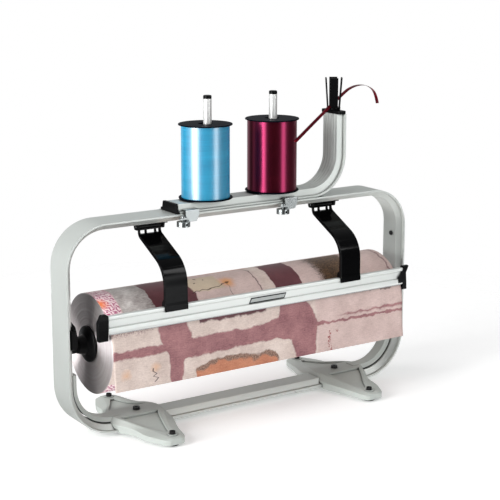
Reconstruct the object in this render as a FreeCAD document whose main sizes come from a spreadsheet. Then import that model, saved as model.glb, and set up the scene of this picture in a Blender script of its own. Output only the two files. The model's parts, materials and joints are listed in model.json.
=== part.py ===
"""Table-top dispenser for gift-wrapping paper, with a holder for two ribbon spools.

A bent aluminium frame stands on two cast feet joined by a base rail. The paper roll turns on an
axle that lies in two brackets, a cutter bar hangs on two arms from the top rail, and a J-shaped
profile clamped on the top rail carries two ribbon spools and a ribbon splitter.

Millimetres. +X runs along the roll, -Y is the front, +Z is up. The origin is on the table, under
the middle of the frame.
"""
import FreeCAD, Part
import math
import os
import re
import Sketcher
from FreeCAD import Placement, Rotation, Vector

doc = FreeCAD.newDocument("dispenser")
sizes = doc.addObject("Spreadsheet::Sheet", "sizes")

DIMENSIONS = [
    # frame
    ("frame_width", 585), ("frame_lift", 6), ("frame_top", 305), ("frame_depth", 50),
    ("top_radius", 62), ("bottom_radius", 70), ("flange_thick", 2.5), ("section_thick", 10),
    ("shoulder_width", 40), ("crown_width", 29), ("wall", 2), ("tongue_reach", 86),
    ("crown_start", 220.5),
    # base rail and feet
    ("rail_length", 380), ("foot_bolt_x", 176.5), ("foot_bolt_radius", 3), ("foot_fit", 0.5),
    ("pad_x", 171.7), ("pad_y", 94), ("pad_radius", 8.5), ("pad_bore", 2.8), ("pad_stem", 4.1),
    ("lobe_hole", 4.2), ("stem_top", 19.5), ("foot_low", 4), ("boss_low", 9), ("boss_radius", 7.5),
    ("boss_top", 15.6), ("spine_top", 24), ("tongue_top", 95), ("tongue_thick", 6.5),
    ("tongue_width", 24), ("tongue_gap", 2), ("tongue_start", 206.5),
    ("head_seat", 19.4), ("bolt_head_radius", 5), ("bolt_head_height", 8.4),
    ("bolt_nut_radius", 6.2), ("bolt_nut_thick", 3.2),
    # roll, hubs and axle
    ("roll_y", -2), ("roll_z", 134), ("roll_radius", 70.5), ("roll_length", 500),
    ("core_outer", 20), ("core_inner", 18), ("hub_radius", 25.5), ("hub_disc", 8),
    ("hub_neck", 11), ("hub_end", 270), ("hub_plug", 30), ("axle_radius", 5), ("axle_end", 278),
    ("running_gap", 0.1), ("bracket_face", 274), ("bracket_half", 15), ("horn_top", 174),
    ("saddle_low", 134), ("saddle_high", 161), ("saddle_depth", 6.5), ("saddle_plate", 3),
    ("bracket_screw_z", 156), ("bracket_screw_y", 17.5), ("upright_screw_z", 228.8),
    # cutter
    ("arm_x", 150), ("arm_width", 36), ("arm_thick", 5), ("pivot_y", 2), ("pivot_z", 288.5),
    ("pivot_pin", 1.5), ("knuckle", 3.5), ("head_width", 43), ("cheek_thick", 3),
    ("arm_front", -72.3), ("arm_back", -66.8), ("arm_foot", 182.3), ("arm_elbow", 242.6),
    ("bar_start", -255), ("bar_stop", 252), ("bar_top", 189.5), ("bar_front", -71),
    ("bar_back", -65),
    ("blade_edge", 162.6), ("bar_foot", 164), ("bar_ridge", 5), ("bar_end_left", -269.5),
    ("bar_end_right", 263), ("lip_reach", 243), ("cap_top", 192.2),
    ("label_left", -29), ("label_length", 64),
    # paper web in front of the roll
    ("web_thick", 0.4), ("web_left", -250), ("web_right", 251), ("web_bottom", 83),
    ("web_gap", 0.35), ("web_flare", 5),
    # spool holder
    ("holder_flange", 46), ("holder_body", 38), ("holder_crown", 34), ("holder_thick", 13),
    ("holder_step", 3), ("holder_left", -115), ("holder_outer", 175), ("holder_bend", 60),
    ("post_top", 426), ("post_cap_top", 431), ("post_cap_rim", 0.4), ("groove_depth", 0.7),
    # spools and spindles
    ("blue_x", -54.8), ("red_x", 57.7), ("blue_lean", -3.6), ("red_lean", -1.5),
    ("spindle_radius", 6.05), ("spindle_top", 461.3), ("spool_bore", 10.4),
    ("spindle_cap", 5), ("spool_base", 319.3), ("spool_height", 107), ("spool_rim", 1.8),
    ("blue_rim", 38.8), ("blue_winding", 34.8), ("red_rim", 39.6), ("red_winding", 36.5),
    ("spool_core", 20),
    # splitter and ribbon
    ("splitter_x", 168), ("splitter_top", 480), ("fin_width", 12), ("fin_thick", 2),
    ("fin_radius", 9.5), ("blade_length", 12.5), ("blade_thick", 0.5), ("blade_height", 22),
    ("ribbon_width", 5),
    # clamps
    ("clamp_one_x", -98), ("clamp_two_x", 71), ("clamp_y", 27), ("clamp_width", 22),
    ("clamp_thick", 2.5), ("clamp_bolt_step", 16), ("clamp_bolt", 2), ("clamp_nut", 9.5),
]
for row, (alias, value) in enumerate(DIMENSIONS, start=1):
    sizes.set("A%d" % row, alias)
    sizes.set("B%d" % row, str(value))
    sizes.setAlias("B%d" % row, alias)
doc.recompute()

nodes = []


def formula(text):
    """The same formula, with each alias taken from the sheet."""
    return re.sub(r"([a-z]\w*)", r"sizes.\1", str(text))


def size(text):
    """Value of a formula of the sheet's aliases."""
    return float(sizes.evalExpression(str(text)))


def bind(thing, **formulas):
    """Tie properties to formulas of the sheet's aliases."""
    for name, text in formulas.items():
        thing.setExpression(name, formula(text))


def node(thing, label):
    """Give an object the name of its sub-part and list it for export."""
    thing.Label = label
    nodes.append(thing)
    return thing


def new_body():
    return doc.addObject("PartDesign::Body", "Body")


def plane(body, role):
    return next(item for item in body.Origin.OriginFeatures if item.Role == role)


def sketch_on(body, role, offset="0"):
    """Empty sketch on one of the body's own planes, moved along the plane's normal."""
    sketch = body.newObject("Sketcher::SketchObject", "Sketch")
    sketch.AttachmentSupport = [(plane(body, role), "")]
    sketch.MapMode = "FlatFace"
    sketch.setExpression("AttachmentOffset.Base.z", formula(offset))
    return sketch


def pin_point(sketch, geometry, position, corner):
    """Hold a sketch point at the place that a pair of formulas gives."""
    for kind, text in zip(("DistanceX", "DistanceY"), corner):
        index = sketch.addConstraint(
            Sketcher.Constraint(kind, -1, 1, geometry, position, size(text)))
        name = "place%d" % index
        sketch.renameConstraint(index, name)
        sketch.setExpression("Constraints." + name, formula(text))


def trace(sketch, corners, closed=True):
    """Line through corners (a, b) or (a, b, radius), each a formula; a radius rounds the corner."""
    places = [Vector(size(corner[0]), size(corner[1]), 0) for corner in corners]
    count = len(corners)
    leaves = []
    arrives = []
    arcs = {}
    for i, corner in enumerate(corners):
        here = places[i]
        if len(corner) == 3:
            back = (places[i - 1] - here).normalize()
            ahead = (places[(i + 1) % count] - here).normalize()
            half = back.getAngle(ahead) / 2
            radius = size(corner[2])
            reach = radius / math.tan(half)
            centre = here + (back + ahead).normalize() * (radius / math.sin(half))
            middle = centre + (here - centre).normalize() * radius
            arcs[i] = (here + back * reach, middle, here + ahead * reach)
            arrives.append(arcs[i][0])
            leaves.append(arcs[i][2])
        else:
            arrives.append(here)
            leaves.append(here)
    spans = count if closed else count - 1
    lines = []
    for i in range(spans):
        lines.append(sketch.addGeometry(Part.LineSegment(leaves[i], arrives[(i + 1) % count]), False))
    for i, corner in enumerate(corners):
        before = lines[i - 1] if (closed or i > 0) else None
        after = lines[i] if i < spans else None
        if i in arcs:
            arc = sketch.addGeometry(Part.Arc(*arcs[i]), False)
            start, end = (1, 2)
            if sketch.getPoint(arc, 1).distanceToPoint(arcs[i][0]) > 1e-6:
                start, end = (2, 1)
            sketch.addConstraint(Sketcher.Constraint("Tangent", before, 2, arc, start))
            sketch.addConstraint(Sketcher.Constraint("Tangent", arc, end, after, 1))
            index = sketch.addConstraint(Sketcher.Constraint("Radius", arc, size(corner[2])))
            sketch.renameConstraint(index, "radius%d" % index)
            sketch.setExpression("Constraints.radius%d" % index, formula(corner[2]))
            mark = sketch.addGeometry(Part.Point(places[i]), True)
            pin_point(sketch, mark, 1, corner[:2])
            sketch.addConstraint(Sketcher.Constraint("PointOnObject", mark, 1, before))
            sketch.addConstraint(Sketcher.Constraint("PointOnObject", mark, 1, after))
        elif before is not None and after is not None:
            sketch.addConstraint(Sketcher.Constraint("Coincident", before, 2, after, 1))
            pin_point(sketch, after, 1, corner)
        elif after is not None:
            pin_point(sketch, after, 1, corner)
        else:
            pin_point(sketch, before, 2, corner)
    return sketch


def ring(sketch, centre, radius):
    """Circle in a sketch, its centre a pair of formulas and its radius a formula."""
    middle = Vector(size(centre[0]), size(centre[1]), 0)
    circle = sketch.addGeometry(Part.Circle(middle, Vector(0, 0, 1), size(radius)), False)
    pin_point(sketch, circle, 3, centre)
    index = sketch.addConstraint(Sketcher.Constraint("Radius", circle, size(radius)))
    sketch.renameConstraint(index, "radius%d" % index)
    sketch.setExpression("Constraints.radius%d" % index, formula(radius))
    return sketch


def pad(body, sketch, length, middle=False, back=False):
    feature = body.newObject("PartDesign::Pad", "Pad")
    feature.Profile = sketch
    feature.Midplane = middle
    feature.Reversed = back
    bind(feature, Length=length)
    doc.recompute()
    return feature


def pocket(body, sketch, length, middle=False, back=False):
    """Cut with a sketch; a cut that removes nothing is an error."""
    before = body.Shape.Volume
    feature = body.newObject("PartDesign::Pocket", "Pocket")
    feature.Profile = sketch
    feature.Midplane = middle
    feature.Reversed = back
    bind(feature, Length=length)
    doc.recompute()
    if body.Shape.Volume > before - 0.01:
        raise ValueError("a pocket of %s cuts nothing" % body.Name)
    return feature


def pipe(body, kind, profile, spine):
    feature = body.newObject("PartDesign::" + kind, kind)
    feature.Profile = profile
    feature.Spine = spine
    doc.recompute()
    return feature


def soften(body, radius, choose):
    """Round the edges of the body's tip that the choose function picks."""
    base = body.Tip
    names = []
    for index, edge in enumerate(base.Shape.Edges, start=1):
        if choose(edge):
            names.append("Edge%d" % index)
    feature = body.newObject("PartDesign::Fillet", "Fillet")
    feature.Base = (base, names)
    bind(feature, Radius=radius)
    doc.recompute()
    return feature


def turned(body, corners, axis_role):
    """Solid turned about a base axis from a closed outline in the XZ plane."""
    profile = trace(sketch_on(body, "XZ_Plane"), corners)
    feature = body.newObject("PartDesign::Revolution", "Revolution")
    feature.Profile = profile
    feature.ReferenceAxis = (plane(body, axis_role), [""])
    feature.Angle = 360
    doc.recompute()
    return feature


def mirrored(source, label):
    """The same sub-part on the other side of the YZ plane."""
    copy = doc.addObject("Part::Mirroring", "Mirroring")
    copy.Source = source
    copy.Normal = Vector(1, 0, 0)
    return node(copy, label)


def group(parts, label):
    compound = doc.addObject("Part::Compound", "Compound")
    compound.Links = parts
    return node(compound, label)


def rod(radius, height, x, y, z, axis=Vector(0, 0, 1)):
    """Cylinder bound to formulas, from its base point along an axis."""
    cylinder = doc.addObject("Part::Cylinder", "Cylinder")
    bind(cylinder, Radius=radius, Height=height)
    cylinder.Placement.Rotation = Rotation(Vector(0, 0, 1), axis)
    for name, text in (("x", x), ("y", y), ("z", z)):
        cylinder.setExpression("Placement.Base." + name, formula(text))
    return cylinder


def hexagon(corner_radius, height, x, y, z):
    prism = doc.addObject("Part::Prism", "Prism")
    bind(prism, Circumradius=corner_radius, Height=height)
    for name, text in (("x", x), ("y", y), ("z", z)):
        prism.setExpression("Placement.Base." + name, formula(text))
    return prism


def block(length, width, height, x, y, z):
    """Plain box bound to formulas, from its lowest corner."""
    box = doc.addObject("Part::Box", "Box")
    bind(box, Length=length, Width=width, Height=height)
    for name, text in (("x", x), ("y", y), ("z", z)):
        box.setExpression("Placement.Base." + name, formula(text))
    return box


def joined(parts):
    fuse = doc.addObject("Part::MultiFuse", "Fuse")
    fuse.Shapes = parts
    return fuse


def cut(base, tool):
    result = doc.addObject("Part::Cut", "Cut")
    result.Base = base
    result.Tool = tool
    return result


# ---------------------------------------------------------------- frame

HALF = "frame_width / 2"
SIDE_WALL = "frame_width / 2 - section_thick"


def frame_loop():
    """Bent hollow profile: a wide outer flange all round, a raised crown on the inside."""
    body = new_body()
    top = ["top_radius"]
    low = ["bottom_radius"]

    def loop(start):
        corners = [("-" + start, "frame_lift"), ("-" + HALF, "frame_lift", *low),
                   ("-" + HALF, "frame_top", *top), (HALF, "frame_top", *top),
                   (HALF, "frame_lift", *low), (start, "frame_lift")]
        return trace(sketch_on(body, "XZ_Plane"), corners, closed=False)

    def section(kind, start, corners):
        profile = trace(sketch_on(body, "YZ_Plane", "-" + start), corners)
        pipe(body, kind, profile, loop(start))

    flange = "frame_depth / 2"
    section("AdditivePipe", "tongue_reach",
            [("-" + flange, "frame_lift"), (flange, "frame_lift"),
             (flange, "frame_lift + flange_thick"), ("-" + flange, "frame_lift + flange_thick")])
    base = "frame_lift + flange_thick - 0.2"
    section("AdditivePipe", "crown_start",
            [("-shoulder_width / 2", base), ("shoulder_width / 2", base),
             ("crown_width / 2", "frame_lift + section_thick"),
             ("-crown_width / 2", "frame_lift + section_thick")])
    section("SubtractivePipe", "crown_start",
            [("-shoulder_width / 2 + wall + 1", "frame_lift + wall"),
             ("shoulder_width / 2 - wall - 1", "frame_lift + wall"),
             ("crown_width / 2 - wall", "frame_lift + section_thick - wall"),
             ("-crown_width / 2 + wall", "frame_lift + section_thick - wall")])
    holes = sketch_on(body, "XY_Plane")
    ring(holes, ("foot_bolt_x", "0"), "foot_bolt_radius + 0.2")
    ring(holes, ("-foot_bolt_x", "0"), "foot_bolt_radius + 0.2")
    pocket(body, holes, "frame_lift + flange_thick + 1", back=True)
    return node(body, "frame_loop")


def base_rail():
    """Straight length of the same profile, lying on the frame's two tongues."""
    body = new_body()
    floor = "frame_lift + flange_thick"
    profile = sketch_on(body, "YZ_Plane")
    half = "frame_depth / 2"
    trace(profile, [("-" + half, floor), (half, floor), (half, floor + " + flange_thick"),
                    ("shoulder_width / 2", floor + " + flange_thick"),
                    ("crown_width / 2", floor + " + section_thick"),
                    ("-crown_width / 2", floor + " + section_thick"),
                    ("-shoulder_width / 2", floor + " + flange_thick"),
                    ("-" + half, floor + " + flange_thick")])
    pad(body, profile, "rail_length", middle=True)
    hollow = trace(sketch_on(body, "YZ_Plane"), [
        ("-shoulder_width / 2 + wall + 1", floor + " + wall"),
        ("shoulder_width / 2 - wall - 1", floor + " + wall"),
        ("crown_width / 2 - wall", floor + " + section_thick - wall"),
        ("-crown_width / 2 + wall", floor + " + section_thick - wall")])
    pocket(body, hollow, "rail_length + 2", middle=True)
    holes = sketch_on(body, "XY_Plane")
    ring(holes, ("foot_bolt_x", "0"), "foot_bolt_radius + 0.2")
    ring(holes, ("-foot_bolt_x", "0"), "foot_bolt_radius + 0.2")
    pocket(body, holes, "frame_top / 2", back=True)
    return node(body, "base_rail")


# Cross-sections of a foot at distances y from its spine: outer and inner edge of the skirt, height
# of the skirt's rim, then outer and inner edge of the crest and its height.
FOOT_SECTIONS = [
    ("0", 228, 134, 15, 221, 140, 24.0),
    ("26", 219, 135, 15, 212, 146, 22.0),
    ("48", 207, 141, 14, 199, 154, 17.6),
    ("72", 203, 149, 12.5, 188, 161, 15.2),
    ("94", 194, 154, 12, 183, 162, 14.6),
    ("103.5", 189, 157.5, 11.5, 181, 164, 13.8),
    ("108", 182, 163, 10.5, 177, 168, 12.6),
]

# Sunk panel in the top of each wing: distance from the spine, outer and inner edge, floor.
PANEL_SECTIONS = [
    ("17.5", 211, 152, 20.0),
    ("34", 203, 157, 17.4),
    ("52", 192, 162, 14.0),
    ("68", 183, 166.5, 12.7),
    ("81", 176, 170.5, 12.3),
]


def loft(body, kind, profiles, ruled):
    """Solid added or cut through a row of sections."""
    made = body.newObject("PartDesign::" + kind, "Loft")
    made.Profile = profiles[0]
    made.Sections = profiles[1:]
    made.Ruled = ruled
    doc.recompute()
    return made


def foot_right():
    """Cast foot: a raised spine over the rail, two wings down to the pads, a tongue up the frame."""
    body = new_body()
    profiles = []
    far_side = [("-" + section[0], *section[1:]) for section in reversed(FOOT_SECTIONS[1:])]
    for distance, outer, inner, rim, crest_out, crest_in, crest in far_side + FOOT_SECTIONS:
        sketch = sketch_on(body, "XZ_Plane", distance)
        trace(sketch, [(outer, "foot_low"), (outer, rim), (crest_out, crest), (crest_in, crest),
                       (inner, rim), (inner, "foot_low")])
        profiles.append(sketch)
    loft(body, "AdditiveLoft", profiles, ruled=False)
    for side in ("", "-"):
        profiles = []
        for distance, outer, inner, floor in PANEL_SECTIONS:
            sketch = sketch_on(body, "XZ_Plane", side + distance)
            trace(sketch, [(inner, floor), (outer, floor), (outer + 1, "spine_top + 3"),
                           (inner - 1, "spine_top + 3")])
            profiles.append(sketch)
        loft(body, "SubtractiveLoft", profiles, ruled=True)
        boss = ring(sketch_on(body, "XY_Plane", "boss_low"), ("pad_x", side + "pad_y"),
                    "boss_radius")
        pad(body, boss, "boss_top - boss_low")
    inside = "(frame_width / 2 - section_thick - tongue_gap)"
    bend = "(bottom_radius - section_thick - tongue_gap)"
    under = "(frame_lift + section_thick + tongue_gap)"
    tongue_path = trace(sketch_on(body, "XZ_Plane"),
                        [("tongue_start", under), (inside, under, bend), (inside, "tongue_top")],
                        closed=False)
    tongue_section = trace(sketch_on(body, "YZ_Plane", "tongue_start"), [
        ("-tongue_width / 2", under), ("tongue_width / 2", under),
        ("tongue_width / 2 - 3", under + " + tongue_thick"),
        ("-tongue_width / 2 + 3", under + " + tongue_thick")])
    pipe(body, "AdditivePipe", tongue_section, tongue_path)
    return body


def foot_cuts(body):
    """Channel for the rail, seats for the frame's tongue and crown, bolt hole and pad holes."""
    start = "rail_length / 2 + 1"
    inner_end = "100"
    floor = "frame_lift + flange_thick"
    edge = "(frame_depth / 2 + foot_fit)"
    shoulder = "(shoulder_width / 2 + foot_fit)"
    crown = "(crown_width / 2 + foot_fit)"
    step = floor + " + flange_thick + foot_fit"
    roof = floor + " + section_thick + 0.1"
    rail = trace(sketch_on(body, "YZ_Plane", start), [
        ("-" + edge, "0"), (edge, "0"), (edge, step), (shoulder, step), (crown, roof),
        ("-" + crown, roof), ("-" + shoulder, step), ("-" + edge, step)])
    pocket(body, rail, inner_end)
    flat = trace(sketch_on(body, "YZ_Plane", "tongue_start + 40"), [
        ("-" + edge, "0"), (edge, "0"), (edge, floor + " + 0.1"), ("-" + edge, floor + " + 0.1")])
    pocket(body, flat, "150")
    bead = "frame_lift + section_thick + 0.2"
    seat = trace(sketch_on(body, "YZ_Plane", "tongue_start + 40"), [
        ("-" + shoulder, floor), (shoulder, floor), (crown, bead), ("-" + crown, bead)])
    pocket(body, seat, "tongue_start + 40 - crown_start + 0.2")
    bolt = ring(sketch_on(body, "XY_Plane"), ("foot_bolt_x", "0"), "foot_bolt_radius + 0.2")
    pocket(body, bolt, "spine_top * 2", back=True)
    sink = ring(sketch_on(body, "XY_Plane", "head_seat"), ("foot_bolt_x", "0"),
                "bolt_head_radius + 0.2")
    pocket(body, sink, "spine_top", back=True)
    for y in ("pad_y", "-pad_y"):
        hole = ring(sketch_on(body, "XY_Plane"), ("pad_x", y), "lobe_hole")
        pocket(body, hole, "spine_top * 2", back=True)
        seat = ring(sketch_on(body, "XY_Plane", "frame_lift"), ("pad_x", y), "pad_radius + 0.3")
        pocket(body, seat, "frame_lift")


def feet():
    right = foot_right()
    foot_cuts(right)
    node(right, "foot_right")
    mirrored(right, "foot_left")


def foot_fasteners():
    """Socket-head bolts through foot, rail and frame tongue, each with a nut underneath."""
    bolts = []
    nuts = []
    for x in ("foot_bolt_x", "-foot_bolt_x"):
        shank = rod("foot_bolt_radius", "head_seat - 2", x, "0", "2")
        head = rod("bolt_head_radius", "bolt_head_height", x, "0", "head_seat")
        socket = hexagon("bolt_head_radius / 2 + 0.1", "4", x, "0",
                         "head_seat + bolt_head_height - 3")
        bolts.append(cut(joined([shank, head]), socket))
        nut = hexagon("bolt_nut_radius", "bolt_nut_thick", x, "0",
                      "frame_lift - 0.1 - bolt_nut_thick")
        nuts.append(cut(nut, rod("foot_bolt_radius", "10", x, "0", "0")))
    group(bolts, "foot_bolts")
    group(nuts, "foot_nuts")


def rubber_feet():
    """Four pads; each stem plugs its lobe and is bored for a screw into the table."""
    pads = []
    for x in ("pad_x", "-pad_x"):
        for y in ("pad_y", "-pad_y"):
            disc = rod("pad_radius", "frame_lift - 0.05", x, y, "0")
            stem = rod("pad_stem", "stem_top", x, y, "0")
            pads.append(cut(joined([disc, stem]), rod("pad_bore", "stem_top + 2", x, y, "-1")))
    group(pads, "rubber_feet")


def roll_brackets():
    """Saddle on the upright with a slot that opens upwards and backwards for the axle."""
    body = new_body()
    outer = "frame_width / 2 - section_thick"
    cheek = trace(sketch_on(body, "YZ_Plane", "bracket_face"), [
        ("roll_y - bracket_half", "roll_z + 2", "6"), ("roll_y - 6", "roll_z - 9.5", "6"),
        ("roll_y + bracket_half + 3", "roll_z - 9.5", "8"),
        ("roll_y + bracket_half + 10", "roll_z + 12", "3"),
        ("roll_y + 9", "horn_top - 14", "3"), ("roll_y + 4", "horn_top", "3"),
        ("roll_y - bracket_half", "horn_top - 9", "4")])
    pad(body, cheek, "frame_width / 2 - section_thick - bracket_face")
    flank = "shoulder_width / 2 + 2"
    saddle = trace(sketch_on(body, "YZ_Plane", outer + " - saddle_plate"), [
        ("-(" + flank + ")", "saddle_low", "3"), (flank, "saddle_low", "3"),
        (flank, "saddle_high", "3"), ("-(" + flank + ")", "saddle_high", "3")])
    pad(body, saddle, "saddle_depth")
    channel = trace(sketch_on(body, "XY_Plane", "roll_z - 40"), [
        (outer, "-crown_width / 2 - 0.1"),
        ("frame_width / 2 - flange_thick", "-shoulder_width / 2 - 0.1"),
        ("frame_width / 2 + 2", "-shoulder_width / 2 - 0.1"),
        ("frame_width / 2 + 2", "shoulder_width / 2 + 0.1"),
        ("frame_width / 2 - flange_thick", "shoulder_width / 2 + 0.1"),
        (outer, "crown_width / 2 + 0.1")])
    pocket(body, channel, "120", back=True)
    lean = "(axle_radius + running_gap) * 0.70711"
    reach = "60"
    slot = trace(sketch_on(body, "YZ_Plane", "bracket_face - 1"), [
        ("roll_y - " + lean, "roll_z + " + lean),
        ("roll_y - " + lean + " + " + reach, "roll_z + " + lean + " + " + reach),
        ("roll_y + " + lean + " + " + reach, "roll_z - " + lean + " + " + reach),
        ("roll_y + " + lean, "roll_z - " + lean)])
    depth = "axle_end + 1 - bracket_face + 1"
    pocket(body, slot, depth, back=True)
    seat = ring(sketch_on(body, "YZ_Plane", "bracket_face - 1"), ("roll_y", "roll_z"),
                "axle_radius + running_gap")
    pocket(body, seat, depth, back=True)
    slope = trace(sketch_on(body, "XZ_Plane", "-60"), [
        ("bracket_face - 1", "roll_z + 14"), ("bracket_face", "roll_z + 14"),
        (outer + " - 3.5", "horn_top"), (outer + " - 3.5", "horn_top + 5"),
        ("bracket_face - 1", "horn_top + 5")])
    pocket(body, slope, "120", back=True)
    node(body, "roll_bracket_right")
    mirrored(body, "roll_bracket_left")


def side_screw(x_sign, y, z, head, length):
    """Button-head screw driven outwards into an upright's inner face."""
    face = "%s(frame_width / 2 - section_thick)" % x_sign
    inward = Vector(-1, 0, 0) if x_sign == "" else Vector(1, 0, 0)
    cap = rod(head, "2", face, y, z, inward)
    shank = rod("1.6", length, face, y, z, inward * -1)
    return joined([cap, shank])


def upright_screws():
    group([side_screw(sign, "-4", "upright_screw_z", "3.4", "4") for sign in ("", "-")],
          "upright_screws")


def bracket_screws():
    """Two screws low in each bracket, into the upright."""
    screws = []
    for sign in ("", "-"):
        face = "%s(frame_width / 2 - section_thick - saddle_plate)" % sign
        inward = Vector(-1, 0, 0) if sign == "" else Vector(1, 0, 0)
        for y in ("-bracket_screw_y", "bracket_screw_y"):
            head = rod("3", "1.2", face, y, "bracket_screw_z", inward)
            shank = rod("1.4", "8", face, y, "bracket_screw_z", inward * -1)
            screws.append(joined([head, shank]))
    group(screws, "bracket_screws")


# ---------------------------------------------------------------- cutter

def hinge_bracket(side, label):
    """Plate under the top rail with two cheeks that hold an arm's pin."""
    body = new_body()
    under = "frame_top - section_thick"
    body.setExpression("Placement.Base.x", formula(side + "arm_x"))
    plate = trace(sketch_on(body, "XY_Plane", under + " - 2"), [
        ("-head_width / 2", "-12"), ("head_width / 2", "-12"),
        ("head_width / 2", "14"), ("-head_width / 2", "14")])
    pad(body, plate, "1.95")
    for start in ("head_width / 2 - cheek_thick", "-head_width / 2"):
        cheek = trace(sketch_on(body, "YZ_Plane", start), [
            ("pivot_y - 6.5", under + " - 1"), ("pivot_y - 5", "pivot_z - 4.5", "3"),
            ("pivot_y + 5", "pivot_z - 4.5", "3"), ("pivot_y + 8", under + " - 1")])
        pad(body, cheek, "cheek_thick")
    bore = ring(sketch_on(body, "YZ_Plane"), ("pivot_y", "pivot_z"), "pivot_pin")
    pocket(body, bore, "head_width + 4", middle=True)
    return node(body, label)


def hinge_pins():
    pins = [rod("pivot_pin", "head_width", side + "arm_x - head_width / 2", "pivot_y", "pivot_z",
                Vector(1, 0, 0)) for side in ("", "-")]
    group(pins, "hinge_pins")


ARM_WINDOWS = [("-15.5", "-7.2"), ("-5.2", "8"), ("10", "15")]


def cutter_arm(side, label):
    """Bent moulded strip: knuckle at the top, three windows, a clip over the cutter bar."""
    body = new_body()
    body.setExpression("Placement.Base.x", formula(side + "arm_x"))
    hook = "bar_back + 2.2"
    outline = [
        ("pivot_y - 1.8", "pivot_z"), ("pivot_y - 1.8", "pivot_z - 9.5", "6"),
        ("arm_front", "arm_elbow", "44"), ("arm_front", "bar_top + 4.5", "6"),
        ("bar_front - 2", "bar_top + 1"), ("bar_front - 2", "arm_foot"),
        ("bar_front - 0.05", "arm_foot"), ("bar_front - 0.05", "bar_top + 0.05"),
        ("bar_back + 0.05", "bar_top + 0.05"), ("bar_back + 0.05", "arm_foot"),
        (hook, "arm_foot"), (hook, "bar_top + 4.5"),
        ("arm_back", "bar_top + 9.5"), ("arm_back", "arm_elbow - 3.2", "38.5"),
        ("pivot_y + 1.8", "pivot_z - 13.6", "10"), ("pivot_y + 1.8", "pivot_z")]
    pad(body, trace(sketch_on(body, "YZ_Plane"), outline), "arm_width", middle=True)
    barrel = ring(sketch_on(body, "YZ_Plane"), ("pivot_y", "pivot_z"), "knuckle")
    pad(body, barrel, "arm_width", middle=True)
    bore = ring(sketch_on(body, "YZ_Plane"), ("pivot_y", "pivot_z"), "pivot_pin + running_gap / 2")
    pocket(body, bore, "arm_width + 4", middle=True)
    for left, right in ARM_WINDOWS:
        window = trace(sketch_on(body, "XZ_Plane", "-30"), [
            (left, "pivot_z - 10.2"), (right, "pivot_z - 10.2"),
            (right, "pivot_z - 5"), (left, "pivot_z - 5")])
        pocket(body, window, "60", back=True)
    low = size("bar_top + 6.5")
    high = size("pivot_z - 6.5")

    def long_edge(edge):
        box = edge.BoundBox
        return box.ZMin > low and box.ZMax < high and box.YMax < -8 and box.XLength < 0.1

    soften(body, "0.8", long_edge)
    return node(body, label)


def cutter_bar():
    """Extruded bar: rounded ridge, recessed band, lower band, slit for the blade."""
    body = new_body()
    profile = trace(sketch_on(body, "YZ_Plane", "bar_start"), [
        ("bar_front + 2.8", "bar_foot"), ("bar_front + 0.6", "bar_foot", "0.5"),
        ("bar_front - 0.2", "bar_foot + 3", "2"), ("bar_front", "bar_foot + 8", "0.6"),
        ("bar_front + 2.2", "bar_foot + 8.8"),
        ("bar_front + 2.2", "bar_top - bar_ridge - 1"),
        ("bar_front", "bar_top - bar_ridge", "0.8"), ("bar_front", "bar_top", "2.2"),
        ("bar_back", "bar_top", "1.4"), ("bar_back", "bar_foot + 11"),
        ("bar_front + 4.2", "bar_foot + 5")])
    pad(body, profile, "bar_stop - bar_start")
    return node(body, "cutter_bar")


def cutter_blade():
    """Strip of spring steel under the bar."""
    strip = block("bar_stop - bar_start - 6", "0.5", "bar_foot - blade_edge - 0.05",
                  "bar_start + 3", "bar_front + 1.6", "blade_edge")
    return node(strip, "cutter_blade")


def side_outline(body, offset):
    """Side view of an end cap, with a tail below the bar."""
    return trace(sketch_on(body, "YZ_Plane", offset), [
        ("bar_front - 1.4", "bar_top - 5", "3"), ("bar_front - 0.6", "bar_top + 2.4", "2"),
        ("bar_back + 1", "bar_top + 2.8", "2"), ("bar_back + 1.6", "bar_foot + 6", "8"),
        ("bar_back + 3.2", "blade_edge - 7.6", "1"), ("bar_front + 1.2", "blade_edge - 8", "1"),
        ("bar_front - 0.8", "bar_foot + 6", "10")])


def bar_end_left():
    """Moulded end cap with a bulged outer face."""
    body = new_body()
    pad(body, side_outline(body, "bar_end_left"), "bar_start - bar_end_left")
    bulge = trace(sketch_on(body, "XZ_Plane", "-bar_back + 20"), [
        ("bar_end_left - 2", "bar_top + 6"), ("bar_end_left + 8.5", "bar_top + 6"),
        ("bar_end_left + 4", "bar_top + 0.5", "6"), ("bar_end_left - 0.8", "bar_top - 10", "16"),
        ("bar_end_left + 1.6", "blade_edge - 12"), ("bar_end_left - 2", "blade_edge - 12")])
    pocket(body, bulge, "60", middle=True)
    corner = trace(sketch_on(body, "XZ_Plane", "-bar_back + 20"), [
        ("bar_start + 2", "bar_top + 6"), ("bar_start - 6", "bar_top + 6"),
        ("bar_start - 6", "cap_top"), ("bar_start", "cap_top", "4"),
        ("bar_start", "bar_top - 6"), ("bar_start + 2", "bar_top - 6")])
    pocket(body, corner, "60", middle=True)
    return node(body, "bar_end_left")


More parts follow.
